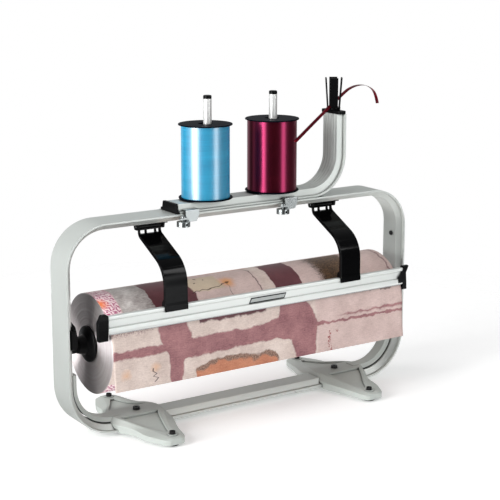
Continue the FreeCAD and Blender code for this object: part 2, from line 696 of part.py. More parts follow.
def bar_end_right():
    """Moulded end cap with a waisted front and a lip in front of the bar's end."""
    body = new_body()
    pad(body, side_outline(body, "lip_reach"), "bar_end_right - lip_reach")
    socket = trace(sketch_on(body, "YZ_Plane", "bar_stop + 0.05"), [
        ("bar_front - 0.3", "blade_edge - 20"), ("bar_back + 20", "blade_edge - 20"),
        ("bar_back + 20", "bar_top + 10"), ("bar_front - 0.3", "bar_top + 10")])
    pocket(body, socket, "bar_stop + 0.05 - lip_reach + 1")
    waist = trace(sketch_on(body, "XZ_Plane", "-bar_back + 20"), [
        ("bar_end_right + 2", "bar_top + 6"), ("bar_end_right - 1", "bar_top + 1.5"),
        ("bar_stop + 5", "bar_top - 7.5", "3"), ("bar_stop + 6", "bar_foot + 8", "8"),
        ("bar_end_right - 1.5", "blade_edge - 12"), ("bar_end_right + 2", "blade_edge - 12")])
    pocket(body, waist, "60", middle=True)
    above = trace(sketch_on(body, "XZ_Plane", "-bar_back + 20"), [
        ("lip_reach - 2", "bar_foot + 12.5"), ("lip_reach + 1.5", "bar_foot + 12.5", "1"),
        ("bar_stop - 4", "bar_foot + 16"), ("bar_stop", "bar_top - 2"),
        ("bar_stop + 0.5", "bar_top + 6"), ("lip_reach - 2", "bar_top + 6")])
    pocket(body, above, "60", middle=True)
    return node(body, "bar_end_right")


def label_plate():
    """Small blank plate in the bar's recessed band."""
    return node(block("label_length", "0.8", "7.6", "label_left", "bar_front + 1.4",
                      "bar_foot + 9.4"), "label_plate")


def arm_screws():
    """Screws through each arm's rear hook into the bar."""
    screws = []
    face = "bar_back + 2.2"
    height = "bar_top - 4.2"
    for side in ("", "-"):
        for step in ("-10", "10"):
            x = side + "arm_x + " + step
            head = rod("2.4", "1.6", x, face, height, Vector(0, 1, 0))
            shank = rod("1.4", "4", x, face, height, Vector(0, -1, 0))
            screws.append(joined([head, shank]))
    group(screws, "arm_screws")


# ---------------------------------------------------------------- roll

def axle_rod():
    return node(rod("axle_radius", "axle_end * 2", "-axle_end", "roll_y", "roll_z",
                    Vector(1, 0, 0)), "axle_rod")


def roll_hubs():
    """Turned hub: plug in the paper core, disc against the roll's end, neck towards the bracket."""
    body = new_body()
    face = "roll_length / 2"
    bore = "axle_radius + running_gap"
    turned(body, [(face + " - hub_plug", bore), (face + " - hub_plug", "core_inner - 2"),
                  (face + " - hub_plug + 4", "core_inner - 0.05"),
                  (face + " + 0.05", "core_inner - 0.05"),
                  (face + " + 0.05", "hub_radius", "1.5"), (face + " + 4", "hub_radius", "2"),
                  (face + " + hub_disc", "hub_neck + 3", "3"), ("hub_end", "hub_neck", "1"),
                  ("hub_end", bore)], "X_Axis")
    body.setExpression("Placement.Base.y", formula("roll_y"))
    body.setExpression("Placement.Base.z", formula("roll_z"))
    node(body, "roll_hub_right")
    mirrored(body, "roll_hub_left")


def tube(outer, inner, length, label):
    """Tube along the roll's axis."""
    start = "-(" + length + ") / 2"
    result = cut(rod(outer, length, start, "roll_y", "roll_z", Vector(1, 0, 0)),
                 rod(inner, length + " + 2", start + " - 1", "roll_y", "roll_z", Vector(1, 0, 0)))
    return node(result, label)


def paper_web():
    """Free end of the paper: off the roll under the cutter bar, then hanging in front of it."""
    body = new_body()
    front = "roll_y - roll_radius - web_gap - web_thick"
    bend = "(roll_radius + web_gap + web_thick)"
    wrap = math.radians(38)
    reach = "(%s * %.6f)" % (bend, math.tan(wrap / 2))
    top_y = "%s + (%s + 2) * %.6f" % (front, reach, math.sin(wrap))
    top_z = "roll_z + %s + (%s + 2) * %.6f" % (reach, reach, math.cos(wrap))
    path = trace(sketch_on(body, "YZ_Plane", "web_left"), [
        (top_y, top_z), (front, "roll_z + " + reach, bend), (front, "roll_z - 18", "70"),
        (front + " - web_flare", "web_bottom")], closed=False)
    section = trace(sketch_on(body, "XY_Plane", "web_bottom"), [
        ("web_left", front + " - web_flare"), ("web_right", front + " - web_flare"),
        ("web_right", front + " - web_flare + web_thick"),
        ("web_left", front + " - web_flare + web_thick")])
    pipe(body, "AdditivePipe", section, path)
    return node(body, "paper_web")


# ---------------------------------------------------------------- spool holder

HOLDER_GROOVES = (12, 6, 0, -6, -12)


def holder_profile():
    """J-shaped extrusion lying on the top rail and bent up at the right into a post."""
    body = new_body()
    seat = "frame_top"
    path = trace(sketch_on(body, "XZ_Plane"), [
        ("holder_left", seat), ("holder_outer", seat, "holder_bend"),
        ("holder_outer", "post_top")], closed=False)
    crown = seat + " + holder_thick"
    corners = [("-holder_flange / 2", seat), ("holder_flange / 2", seat),
               ("holder_flange / 2", seat + " + holder_step"),
               ("holder_body / 2", seat + " + holder_step"), ("holder_crown / 2", crown)]
    for y in HOLDER_GROOVES:
        corners += [("%g" % (y + 1), crown), ("%g" % y, crown + " - groove_depth"),
                    ("%g" % (y - 1), crown)]
    corners += [("-holder_crown / 2", crown), ("-holder_body / 2", seat + " + holder_step"),
                ("-holder_flange / 2", seat + " + holder_step")]
    pipe(body, "AdditivePipe", trace(sketch_on(body, "YZ_Plane", "holder_left"), corners), path)
    inner = "holder_crown / 2 - 3"
    hollow = [("-(" + inner + ")", seat + " + 2"), (inner, seat + " + 2"), (inner, crown + " - 3"),
              ("-(" + inner + ")", crown + " - 3")]
    hollow_path = trace(sketch_on(body, "XZ_Plane"), [
        ("holder_left", seat), ("holder_outer", seat, "holder_bend"),
        ("holder_outer", "post_top")], closed=False)
    pipe(body, "SubtractivePipe", trace(sketch_on(body, "YZ_Plane", "holder_left"), hollow),
         hollow_path)
    holes = sketch_on(body, "XY_Plane", crown + " - 6")
    ring(holes, ("blue_x", "0"), "4")
    ring(holes, ("red_x", "0"), "4")
    pocket(body, holes, "20", back=True)
    return node(body, "holder_profile")


def holder_end_cap():
    """Stepped cap that closes the profile's left end."""
    body = new_body()
    seat = "frame_top"
    outline = trace(sketch_on(body, "YZ_Plane", "holder_left - 4"), [
        ("-holder_flange / 2 - 0.8", seat + " + 0.1"), ("holder_flange / 2 + 0.8", seat + " + 0.1"),
        ("holder_flange / 2 + 0.8", seat + " + holder_step + 1", "1"),
        ("holder_body / 2 + 0.8", seat + " + holder_step + 1", "1"),
        ("holder_crown / 2 + 0.8", seat + " + holder_thick + 0.8", "1.5"),
        ("-holder_crown / 2 - 0.8", seat + " + holder_thick + 0.8", "1.5"),
        ("-holder_body / 2 - 0.8", seat + " + holder_step + 1", "1"),
        ("-holder_flange / 2 - 0.8", seat + " + holder_step + 1", "1")])
    pad(body, outline, "3.95")
    return node(body, "holder_end_cap")


def post_cap():
    """Thin cap on the post, flush with the profile."""
    body = new_body()
    right = "holder_outer + post_cap_rim"
    left = "holder_outer - holder_thick - post_cap_rim"
    half = "(holder_flange / 2 + post_cap_rim)"
    outline = trace(sketch_on(body, "XY_Plane", "post_top + 0.05"), [
        (left, "-" + half, "4"), (right, "-" + half, "4"), (right, half, "4"), (left, half, "4")])
    pad(body, outline, "post_cap_top - post_top - 0.05")
    top = size("post_cap_top")

    def rim(edge):
        return edge.BoundBox.ZMin > top - 0.01

    soften(body, "1", rim)
    return node(body, "post_cap")


FIN_TURN = -33
FIN_LEAN = 4


def ribbon_splitter():
    """Four upright fins around a low boss, each leaning a little outwards."""
    boss = rod("fin_radius + 1", "3.9", "splitter_x", "0", "post_cap_top + 0.05")
    parts = [boss]
    for number in range(4):
        turn = Rotation(Vector(0, 0, 1), FIN_TURN + 90 * number)
        turn = turn.multiply(Rotation(Vector(0, 1, 0), FIN_LEAN))
        fin = doc.addObject("Part::Box", "Box")
        bind(fin, Length="fin_thick", Width="fin_width", Height="splitter_top - post_cap_top - 1")
        corner = turn.multVec(Vector(size("fin_radius - fin_thick"), -size("fin_width") / 2, 0))
        foot = Vector(size("splitter_x"), 0, size("post_cap_top + 1"))
        fin.Placement = Placement(foot + corner, turn)
        parts.append(fin)
    return node(joined(parts), "ribbon_splitter")


def splitter_blades():
    """Two crossed strips of steel between the fins that slit the ribbon."""
    parts = []
    for angle in (FIN_TURN, FIN_TURN + 90):
        strip = doc.addObject("Part::Box", "Box")
        bind(strip, Length="blade_length", Width="blade_thick", Height="blade_height")
        turn = Rotation(Vector(0, 0, 1), angle)
        foot = Vector(size("splitter_x"), 0, size("post_cap_top + 4"))
        corner = turn.multVec(Vector(-size("blade_length") / 2, -size("blade_thick") / 2, 0))
        strip.Placement = Placement(foot + corner, turn)
        parts.append(strip)
    return node(joined(parts), "splitter_blades")


def clamp_plate(x, side):
    """Hook over the profile's flange, with an ear that the bolt pulls down."""
    body = new_body()
    inner = side + "clamp_y"
    outer = side + "(clamp_y + clamp_thick)"
    lip = side + "(holder_flange / 2 - 2)"
    left = x + " - clamp_width / 2"
    right = x + " + clamp_width / 2"
    low = "frame_top - 11"
    roof = "frame_top + holder_step + 3"
    under = "frame_top + holder_step + 0.6"
    hook = trace(sketch_on(body, "YZ_Plane", left), [
        (inner, low), (outer, low), (outer, roof, "1.5"), (lip, roof), (lip, under),
        (inner, under)])
    pad(body, hook, "clamp_width")
    slant = trace(sketch_on(body, "XZ_Plane", "60"), [
        (right + " + 1", "frame_top - 12"), (right + " - 5", "frame_top - 12"),
        (right + " + 1", "frame_top - 1")])
    pocket(body, slant, "120")
    past_nut = x + " - clamp_bolt_step + clamp_nut + 0.5"
    notch = trace(sketch_on(body, "XZ_Plane", "60"), [
        (left + " - 1", "frame_top - 12"), (past_nut, "frame_top - 12"),
        (past_nut, "frame_top - 8.8"), (left + " - 1", "frame_top - 8.8")])
    pocket(body, notch, "120")
    ear = trace(sketch_on(body, "XY_Plane", "frame_top - 6"), [
        (left + " - 11", side + "(clamp_y + 1)"), (left + " + 1", inner),
        (left + " + 1", side + "(clamp_y + 7)"), (left + " - 11", side + "(clamp_y + 7)")])
    pad(body, ear, "2")
    hole = ring(sketch_on(body, "XY_Plane", "frame_top - 7"),
                (x + " - clamp_bolt_step", side + "(clamp_y + 4)"), "clamp_bolt + 0.1")
    pocket(body, hole, "5", back=True)
    return body


def clamps():
    """Hook plates front and back that pull the profile down on the top rail, with round nuts."""
    bolts = []
    nuts = []
    for name, x in (("clamp_left", "clamp_one_x"), ("clamp_right", "clamp_two_x")):
        group([clamp_plate(x, "-"), clamp_plate(x, "")], name)
        at = x + " - clamp_bolt_step"
        for y in ("-(clamp_y + 4)", "(clamp_y + 4)"):
            bolts.append(joined([rod("clamp_bolt", "12.5", at, y, "frame_top - 14.5"),
                                 rod("3.6", "2.4", at, y, "frame_top - 3.95")]))
            barrel = rod("clamp_nut", "7", at, y, "frame_top - 16")
            stem = rod("clamp_bolt + 0.02", "9", at, y, "frame_top - 17")
            across = rod("1.8", "30", at, y + " - 15", "frame_top - 12.5", Vector(0, 1, 0))
            nuts.append(cut(cut(barrel, stem), across))
    group(bolts, "clamp_bolts")
    group(nuts, "clamp_nuts")


def spindles():
    caps = []
    for name, x in (("spindle_left", "blue_x"), ("spindle_right", "red_x")):
        base = "(frame_top + holder_thick)"
        shaft = rod("spindle_radius", "spindle_top - " + base, x, "0", base)
        stud = rod("3.9", "8", x, "0", base + " - 8")
        node(joined([shaft, stud]), name)
        cap = new_body()
        cap.setExpression("Placement.Base.x", formula(x))
        rim = "spindle_radius"
        turned(cap, [("0", "spindle_top + 0.05"), (rim, "spindle_top + 0.05"),
                     (rim, "spindle_top + spindle_cap", "1.6"),
                     ("0", "spindle_top + spindle_cap")], "Z_Axis")
        caps.append(cap)
    group(caps, "spindle_caps")


def spool(color, x):
    """Flanged reel with a wide bore, hanging a little aside on its spindle, and its ribbon."""
    rim = color + "_rim"
    low = "spool_base"
    high = "spool_base + spool_height"
    at = x + " + " + color + "_lean"
    reel = new_body()
    turned(reel, [("spool_bore", low), (rim, low, "0.6"), (rim, low + " + spool_rim", "0.6"),
                  ("spool_core", low + " + spool_rim"), ("spool_core", high + " - spool_rim"),
                  (rim, high + " - spool_rim", "0.6"), (rim, high, "0.6"),
                  ("spool_bore", high)], "Z_Axis")
    ring_space = cut(rod("spool_core - 2", "spool_height - 8", "0", "0", low + " + 4"),
                     rod("spool_bore + 2", "spool_height", "0", "0", low))
    hollow = cut(reel, ring_space)
    hollow.setExpression("Placement.Base.x", formula(at))
    node(hollow, color + "_spool")
    winding = cut(rod(color + "_winding", "spool_height - 2 * spool_rim - 0.1", "0", "0",
                      low + " + spool_rim + 0.05"),
                  rod("spool_core + 0.02", "spool_height", "0", "0", low))
    winding.setExpression("Placement.Base.x", formula(at))
    node(winding, color + "_ribbon")


# Route of the loose ribbon: taut from the red spool to the splitter, then curling over.
RIBBON_ROUTE = [(71.0, -37.6, 394.2), (192.0, 8.6, 454.1), (220.0, 19.2, 462.0),
                (249.0, 30.3, 461.8), (273.0, 39.5, 453.5), (284.5, 43.9, 441.5),
                (289.0, 45.6, 428.4)]


def ribbon_strand():
    points = [Vector(*point) for point in RIBBON_ROUTE]
    edges = []
    here = points[0]
    for i in range(1, len(points) - 1):
        back = points[i - 1] - points[i]
        ahead = points[i + 1] - points[i]
        shorter = min(back.Length, ahead.Length)
        half = (math.pi - back.getAngle(ahead)) / 2
        reach = 0.45 * shorter
        radius = reach / math.tan(half)
        print("ribbon arc %d: radius %.1f" % (i, radius))
        start = points[i] + back.normalize() * reach
        end = points[i] + ahead.normalize() * reach
        inwards = (back + ahead).normalize()
        middle = points[i] + inwards * (radius / math.cos(half) - radius)
        edges.append(Part.LineSegment(here, start).toShape())
        edges.append(Part.Arc(start, middle, end).toShape())
        here = end
    edges.append(Part.LineSegment(here, points[-1]).toShape())
    wire = Part.Wire(edges)
    radius = size("ribbon_width / 2")
    circle = Part.Wire([Part.Circle(points[0], points[1] - points[0], radius).toShape()])
    strand = doc.addObject("Part::Feature", "Strand")
    strand.Shape = wire.makePipeShell([circle], True, False)
    expected = math.pi * radius ** 2 * wire.Length
    print("ribbon length %.1f, volume ratio %.4f" % (wire.Length, strand.Shape.Volume / expected))
    return node(strand, "ribbon_strand")


frame_loop()
base_rail()
feet()
foot_fasteners()
rubber_feet()
roll_brackets()
bracket_screws()
upright_screws()
hinge_bracket("", "hinge_bracket_right")
hinge_bracket("-", "hinge_bracket_left")
hinge_pins()
cutter_arm("", "cutter_arm_right")
cutter_arm("-", "cutter_arm_left")
cutter_bar()
cutter_blade()
bar_end_left()
bar_end_right()
label_plate()
arm_screws()
axle_rod()
roll_hubs()
tube("core_outer", "core_inner", "roll_length", "paper_core")
tube("roll_radius", "core_outer + 0.02", "roll_length", "paper_roll")
paper_web()
holder_profile()
holder_end_cap()
post_cap()
ribbon_splitter()
splitter_blades()
clamps()
spindles()
spool("blue", "blue_x")
spool("red", "red_x")
ribbon_strand()
doc.recompute()

failed = [thing.Name + " in " + ", ".join(user.Label for user in thing.InList)
          for thing in doc.Objects if "Invalid" in thing.State or "Error" in thing.State]
if failed:
    raise ValueError("failed objects: " + "; ".join(failed))
os.makedirs("parts", exist_ok=True)
for thing in nodes:
    shape = thing.Shape
    if shape.isNull() or not shape.isValid():
        raise ValueError("%s has no valid shape" % thing.Label)
    box = shape.BoundBox
    print("%-20s %2d solids %10.1f mm3  x %.1f..%.1f  y %.1f..%.1f  z %.1f..%.1f" % (
        thing.Label, len(shape.Solids), shape.Volume, box.XMin, box.XMax, box.YMin, box.YMax,
        box.ZMin, box.ZMax))
    shape.exportStep("parts/%s.step" % thing.Label)
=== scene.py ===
"""Looks of a table-top dispenser for gift-wrapping paper, with two ribbon spools on top.

Every object is in metres in the part's own frame: +X along the roll, -Y the front, +Z up.
"""
import json
import math
import random

import bmesh
import bpy
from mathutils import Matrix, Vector, noise


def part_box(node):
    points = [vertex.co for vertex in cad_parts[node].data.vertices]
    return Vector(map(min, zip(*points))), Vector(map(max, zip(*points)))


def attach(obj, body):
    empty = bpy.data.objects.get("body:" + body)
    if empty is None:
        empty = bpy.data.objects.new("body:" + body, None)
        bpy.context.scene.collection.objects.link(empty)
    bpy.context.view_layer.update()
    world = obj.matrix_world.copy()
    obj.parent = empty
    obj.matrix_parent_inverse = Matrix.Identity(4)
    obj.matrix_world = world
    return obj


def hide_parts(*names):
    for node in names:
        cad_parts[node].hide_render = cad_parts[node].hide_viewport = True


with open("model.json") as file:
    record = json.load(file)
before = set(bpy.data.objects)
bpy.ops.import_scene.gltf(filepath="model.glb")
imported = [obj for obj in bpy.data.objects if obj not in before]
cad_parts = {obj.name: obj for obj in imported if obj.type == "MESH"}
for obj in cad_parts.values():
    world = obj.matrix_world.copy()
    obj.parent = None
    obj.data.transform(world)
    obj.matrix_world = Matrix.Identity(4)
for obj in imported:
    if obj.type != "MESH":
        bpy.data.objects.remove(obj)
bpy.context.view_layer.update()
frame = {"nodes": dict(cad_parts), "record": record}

MM = 0.001
EVEN = (1, 1, 1)
WHITE = (1, 1, 1, 1)

CAMERA_PLACE = (-1.05345, -1.62070, 0.67628)
CAMERA_TARGET = (0, 0, 0.28433)
CAMERA_LENS = 97.21
CAMERA_SHIFT = (0.0203, -0.0658)

# name, place, height of its target above the floor, width, height, power
SOFTBOXES = (
    ("left_panel", (-2.2, -0.27, 0.95), 0.3, 0.7, 1.4, 34),
    ("right_panel", (1.25, -1.70, 1.55), 0.3, 0.45, 1.0, 9),
    ("upper_panel", (1.27, -1.0, 2.0), 0.3, 0.5, 0.2, 1.0),
    ("top_light", (-0.6, 0.5, 2.4), 0.2, 0.8, 0.8, 8),
)

# Level directions in the room. A dark screen stands behind the object, to its left.
TO_FRONT = (-0.545, -0.838, 0)
TO_LEFT = (-0.838, 0.545, 0)
TO_SCREEN = (-0.545, 0.838, 0)
ALONG_SCREEN = (0.838, 0.545, 0)

FLOOR_RADIUS = 1.0
FLOOR_GLOW = 0.22
ROOM_TINT = (0.97, 0.99, 1, 1)
ROOM_SLOPE = (-0.14, 0.28, 0.12)
ROOM_LEVEL = 0.30
ROOM_LOWEST = 0.07
FRONT_DIMMER = (-0.535, -0.835, 0.12)
MATT_FILL = 0.50
# bright strips by their turn to the left: where each begins, is full, ends and is gone; power
BRIGHT_STRIPS = (
    (0.46, 0.60, 0.84, 0.93, 6.0),
    (-0.90, -0.84, -0.74, -0.64, 3.6),
)

# painted shade in crevices: reach of the ambient occlusion, its darkest tone as a share of the
# colour, its samples
CREVICE_SHADE_REACH = 0.004
CREVICE_SHADE_TONE = 0.12
CREVICE_SHADE_SAMPLES = 16
ROUNDING_SAMPLES = 10

PRINT_UV = "sheet"
PRINT_REACH = 500.0  # millimetres in one unit of the sheet's coordinates
PRINT_LOW, PRINT_HIGH = 0.084, 0.255  # stretch of paper, in metres, that the print covers
PRINT_REPEAT = PRINT_HIGH - PRINT_LOW
UPPER_FACE = 184  # millimetres along the paper where the roll's upper face begins
ALONG_SPAN = (80, 260)
ACROSS_SPAN = (-260, 260)
ROLL_SPAN = (-255, 255)

# Route of the ribbon, in the part source's own points.
RIBBON_POINTS = [(0.0710, -0.0376, 0.3942), (0.1920, 0.0086, 0.4541), (0.2200, 0.0192, 0.4620),
                 (0.2490, 0.0303, 0.4618), (0.2730, 0.0395, 0.4535), (0.2845, 0.0439, 0.4415),
                 (0.2890, 0.0456, 0.4284)]
RIBBON_WIDTH = 0.005
RIBBON_THICK = 0.00025
RIBBON_CROWN = 0.4
RIBBON_LEAN_START = 34  # degrees, at the spool
RIBBON_LEAN_END = 20  # degrees, the other way, in the last quarter
# points round the ribbon's section: side from -1 to 1, and 1 on the upper face
RIBBON_SECTION = ((-1, 0), (-0.5, 1), (0.5, 1), (1, 0), (0.5, 0), (-0.5, 0))

ROLL_LOW, ROLL_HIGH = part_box("paper_roll")
CORE_LOW, CORE_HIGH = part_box("paper_core")
AXLE_LOW, AXLE_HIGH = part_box("axle_rod")
ROLL_RADIUS = (ROLL_HIGH.z - ROLL_LOW.z) / 2
CORE_RADIUS = (CORE_HIGH.z - CORE_LOW.z) / 2
ROLL_Y = (AXLE_LOW.y + AXLE_HIGH.y) / 2
ROLL_Z = (ROLL_HIGH.z + ROLL_LOW.z) / 2
ROLL_STEPS = 220
ROLL_LAYERS = 46
ROLL_UNEVEN = 0.00035
ROLL_EDGE = 0.0008  # from the printed face's last ring to the roll's end
INNER_CLEARANCE = 0.0002
OUTER_CLEARANCE = 0.0004
LAST_LAYER_INSET = 0.0003

SHEET_GAP = 0.0004
SHEET_THICK = 0.00022
SHEET_COLUMNS, SHEET_ROWS = 140, 64
SHEET_STRAIGHT = 0.12  # share of the drop that hangs straight down
SHEET_FLARE = 0.0042  # how far the cut edge stands out from there
SHEET_COCKLE = 0.0007
SHEET_INSETS = (0.0007, 0.001)  # how far the cut edge's left and right corners draw in

WINDING_CORE = 0.0205
WINDING_STEPS = 128

PLATE_SLANT = 0.0035
PLATE_RIM = 0.0011
PLATE_STEP = 0.0002
PLATE_SUNK = 0.0003


# ------------------------------------------------------------------ objects and meshes

def add_object(name, data):
    thing = bpy.data.objects.new(name, data)
    bpy.context.scene.collection.objects.link(thing)
    return thing


def look_at(thing, target):
    thing.rotation_euler = (Vector(target) - thing.location).to_track_quat("-Z", "Y").to_euler()


def piece(name, mesh, materials, body, slot, *stands_for):
    """Visible piece that rides on a body and takes the place of CAD nodes."""
    thing = add_object(name, mesh)
    for material in materials:
        mesh.materials.append(material)
    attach(thing, body)
    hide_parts(*stands_for)
    return thing


def mesh_data(name, mesh):
    """Mesh made from a bmesh, which is freed."""
    data = bpy.data.meshes.new(name)
    mesh.to_mesh(data)
    mesh.free()
    return data


def bridge(mesh, first, second):
    """Faces between two closed rings with the same number of points."""
    count = len(first)
    return [mesh.faces.new((first[k], first[(k + 1) % count], second[(k + 1) % count], second[k]))
            for k in range(count)]


def lathe(name, profile, centre, axis, steps, materials, body, slot, stands_for, bands=None):
    """Closed turned piece: profile of (radius, along) in metres, about a line through centre.

    The list bands holds the material index of each stretch of the profile.
    """
    mesh = bmesh.new()
    rings = []
    for radius, along in profile:
        ring = []
        for k in range(steps):
            turn = 2 * math.pi * k / steps
            if axis == "Z":
                place = Vector((radius * math.cos(turn), radius * math.sin(turn), along))
            else:
                place = Vector((along, -radius * math.cos(turn), radius * math.sin(turn)))
            ring.append(mesh.verts.new(Vector(centre) + place))
        rings.append(ring)
    for index, (first, second) in enumerate(zip(rings, rings[1:] + rings[:1])):
        for face in bridge(mesh, first, second):
            face.smooth = True
            if bands:
                face.material_index = bands[index]
    bmesh.ops.recalc_face_normals(mesh, faces=mesh.faces)
    return piece(name, mesh_data(name, mesh), materials, body, slot, stands_for)


# ------------------------------------------------------------------ material building blocks

def linear(red, green, blue):
    """Linear colour from screen values of 0 to 255."""
    def one(value):
        value = value / 255
        return value / 12.92 if value <= 0.04045 else ((value + 0.055) / 1.055) ** 2.4
    return (one(red), one(green), one(blue), 1.0)


def scaled(colour, factor):
    return tuple(min(1, part * factor) for part in colour[:3]) + (1,)


class Nodes:
    """A node tree, with short calls for the nodes that this scene uses."""

    def __init__(self, tree):
        self.tree = tree

    def feed(self, socket, value):
        if isinstance(value, bpy.types.NodeSocket):
            self.tree.links.new(value, socket)
        elif value is not None:
            socket.default_value = value

    def set(self, node, **sockets):
        """Feeds a node's sockets by name, with underscores for spaces."""
        for socket, value in sockets.items():
            self.feed(node.inputs[socket.replace("_", " ")], value)
        return node

    def node(self, kind, *inputs, **settings):
        """New node with its settings, and with its first sockets fed in order."""
        made = self.tree.nodes.new("ShaderNode" + kind)
        for name, value in settings.items():
            setattr(made, name, value)
        for socket, value in zip(made.inputs, inputs):
            self.feed(socket, value)
        return made

    def math(self, operation, *values, clamp=False):
        return self.node("Math", *values, operation=operation, use_clamp=clamp).outputs[0]

    def add(self, first, second):
        return self.math("ADD", first, second)

    def times(self, first, second):
        return self.math("MULTIPLY", first, second)

    def without(self, value):
        """1 less the value."""
        return self.math("SUBTRACT", 1.0, value)

    def distance(self, first, second):
        """Length of the level vector (first, second)."""
        return self.math("SQRT", self.add(self.times(first, first), self.times(second, second)))

    def dot(self, vector, direction):
        return self.node("VectorMath", vector, direction,
                         operation="DOT_PRODUCT").outputs["Value"]

    def span(self, value, low, high, new_low=0.0, new_high=1.0):
        return self.node("MapRange", value, low, high, new_low, new_high).outputs[0]

    def colour(self, factor, first, second):
        made = self.node("Mix", factor, data_type="RGBA")
        self.feed(made.inputs[6], first)
        self.feed(made.inputs[7], second)
        return made.outputs[2]


class Net(Nodes):
    """A material's nodes and its shader."""

    def __init__(self, name, **sockets):
        self.material = bpy.data.materials.new(name)
        self.material.use_nodes = True
        super().__init__(self.material.node_tree)
        self.shader = self.tree.nodes["Principled BSDF"]
        self.set(self.shader, **sockets)

    def mapped(self, vector, scale, turn=0.0):
        made = self.node("Mapping")
        return self.set(made, Vector=vector, Scale=scale, Rotation=(0, 0, turn)).outputs[0]

    def coordinates(self, scale=EVEN):
        source = self.node("TexCoord").outputs["Object"]
        return source if scale == EVEN else self.mapped(source, scale)

    def noise(self, vector, scale, detail=4, roughness=0.55, distortion=0.0):
        made = self.node("TexNoise")
        self.set(made, Vector=vector, Scale=scale, Detail=detail, Roughness=roughness,
                 Distortion=distortion)
        return made.outputs["Fac"]

    def line_noise(self, place, scale, detail):
        made = self.node("TexNoise", noise_dimensions="1D")
        return self.set(made, W=place, Scale=scale, Detail=detail).outputs["Fac"]

    def bump(self, height, strength, distance, normal=None):
        made = self.node("Bump")
        self.set(made, Strength=strength, Distance=distance, Height=height, Normal=normal)
        return made.outputs[0]

    def rounded(self, radius):
        return self.set(self.node("Bevel", samples=ROUNDING_SAMPLES), Radius=radius).outputs[0]

    def tones(self, value, low, high, dark, light):
        """Colour that goes from dark to light as the value goes from low to high."""
        return self.colour(self.span(value, low, high), dark, light)

    def finish(self, **sockets):
        self.set(self.shader, **sockets)
        return self.material


def surface(name, colour, metallic=0.0, roughness=0.4, grain=EVEN, grain_scale=900,
            spread=0.1, shade=0.06, bump=0.1, depth=0.00004, edge=0.0004, **sockets):
    """A finish with fine grain in its colour, gloss and relief, softly rounded edges, and painted
    shade in its crevices.
    """
    net = Net(name, Metallic=metallic, **sockets)
    fine = net.noise(net.coordinates(grain), grain_scale, 5, 0.6)
    wide = net.noise(net.coordinates(), 14, 3)
    mixed = net.add(net.times(fine, 0.65), net.times(wide, 0.35))
    own = net.tones(mixed, 0.3, 0.7, scaled(colour, 1 - shade), scaled(colour, 1 + shade))
    # painted shade: ambient occlusion darkens the base colour in crevices, grooves and gaps
    # between parts
    crevice_shade = net.node("AmbientOcclusion", samples=CREVICE_SHADE_SAMPLES)
    net.set(crevice_shade, Distance=CREVICE_SHADE_REACH)
    return net.finish(
        Base_Color=net.tones(crevice_shade.outputs["AO"], 0.35, 0.9, scaled(colour, CREVICE_SHADE_TONE), own),
        Roughness=net.span(mixed, 0.3, 0.7, roughness * (1 - spread), roughness * (1 + spread)),
        Normal=net.bump(fine, bump, depth, net.rounded(edge)))


# ------------------------------------------------------------------ finishes of the CAD nodes

FINISHES = {slot: surface(slot, linear(*tone), **settings) for slot, tone, settings in (
    ("frame_aluminium", (208, 212, 208), dict(
        metallic=0.6, roughness=0.45, grain=(0.03, 1, 0.03), grain_scale=1500, spread=0.06,
        shade=0.03, bump=0.06)),
    ("bar_aluminium", (230, 233, 230), dict(
        metallic=0.7, roughness=0.40, grain=(0.02, 0.6, 1), grain_scale=1500, spread=0.08,
        shade=0.03, bump=0.08)),
    ("spindle_aluminium", (226, 226, 224), dict(
        metallic=0.45, roughness=0.42, grain=(0.05, 0.05, 1), grain_scale=2200, spread=0.15,
        shade=0.05, bump=0.2)),
    ("cast_grey", (186, 192, 187), dict(
        roughness=0.34, grain_scale=320, spread=0.12, shade=0.03, bump=0.06, depth=0.00006,
        edge=0.0015)),
    ("black_plastic", (12, 12, 13), dict(
        roughness=0.3, grain_scale=700, spread=0.2, shade=0.15, bump=0.15, IOR=1.25,
        Specular_IOR_Level=0.3)),
    ("gloss_black", (6, 6, 7), dict(
        roughness=0.1, grain_scale=260, spread=0.2, shade=0.1, bump=0.04, depth=0.00005,
        edge=0.0006, Specular_IOR_Level=0.12)),
    ("chrome", (176, 180, 180), dict(
        metallic=1.0, roughness=0.3, grain_scale=500, spread=0.3, shade=0.04, bump=0.05)),
    ("steel", (196, 196, 198), dict(
        metallic=1.0, roughness=0.3, grain=(1, 0.1, 1), grain_scale=1200, spread=0.2, bump=0.2)),
    ("dark_steel", (10, 10, 11), dict(roughness=0.4, spread=0.2, shade=0.1)),
    ("rubber", (18, 18, 18), dict(roughness=0.8, shade=0.2, bump=0.4, depth=0.0001)),
    ("cardboard", (170, 138, 104), dict(
        roughness=0.85, grain=(0.2, 1, 1), grain_scale=600, spread=0.05, shade=0.12, bump=0.4,
        depth=0.0001)),
    ("spool_black", (6, 9, 20), dict(
        roughness=0.45, grain_scale=600, spread=0.2, shade=0.15, bump=0.08, IOR=1.12,
        Specular_IOR_Level=0.25)),
)}

SLOT_OF = {part["node"]: part["material_slot"] for part in frame["record"]["subparts"]}
for node_name, node in frame["nodes"].items():
    node_finish = FINISHES.get(SLOT_OF.get(node_name))
    if node_finish is not None:
        node.data.materials.clear()
        node.data.materials.append(node_finish)


# ------------------------------------------------------------------ printed paper

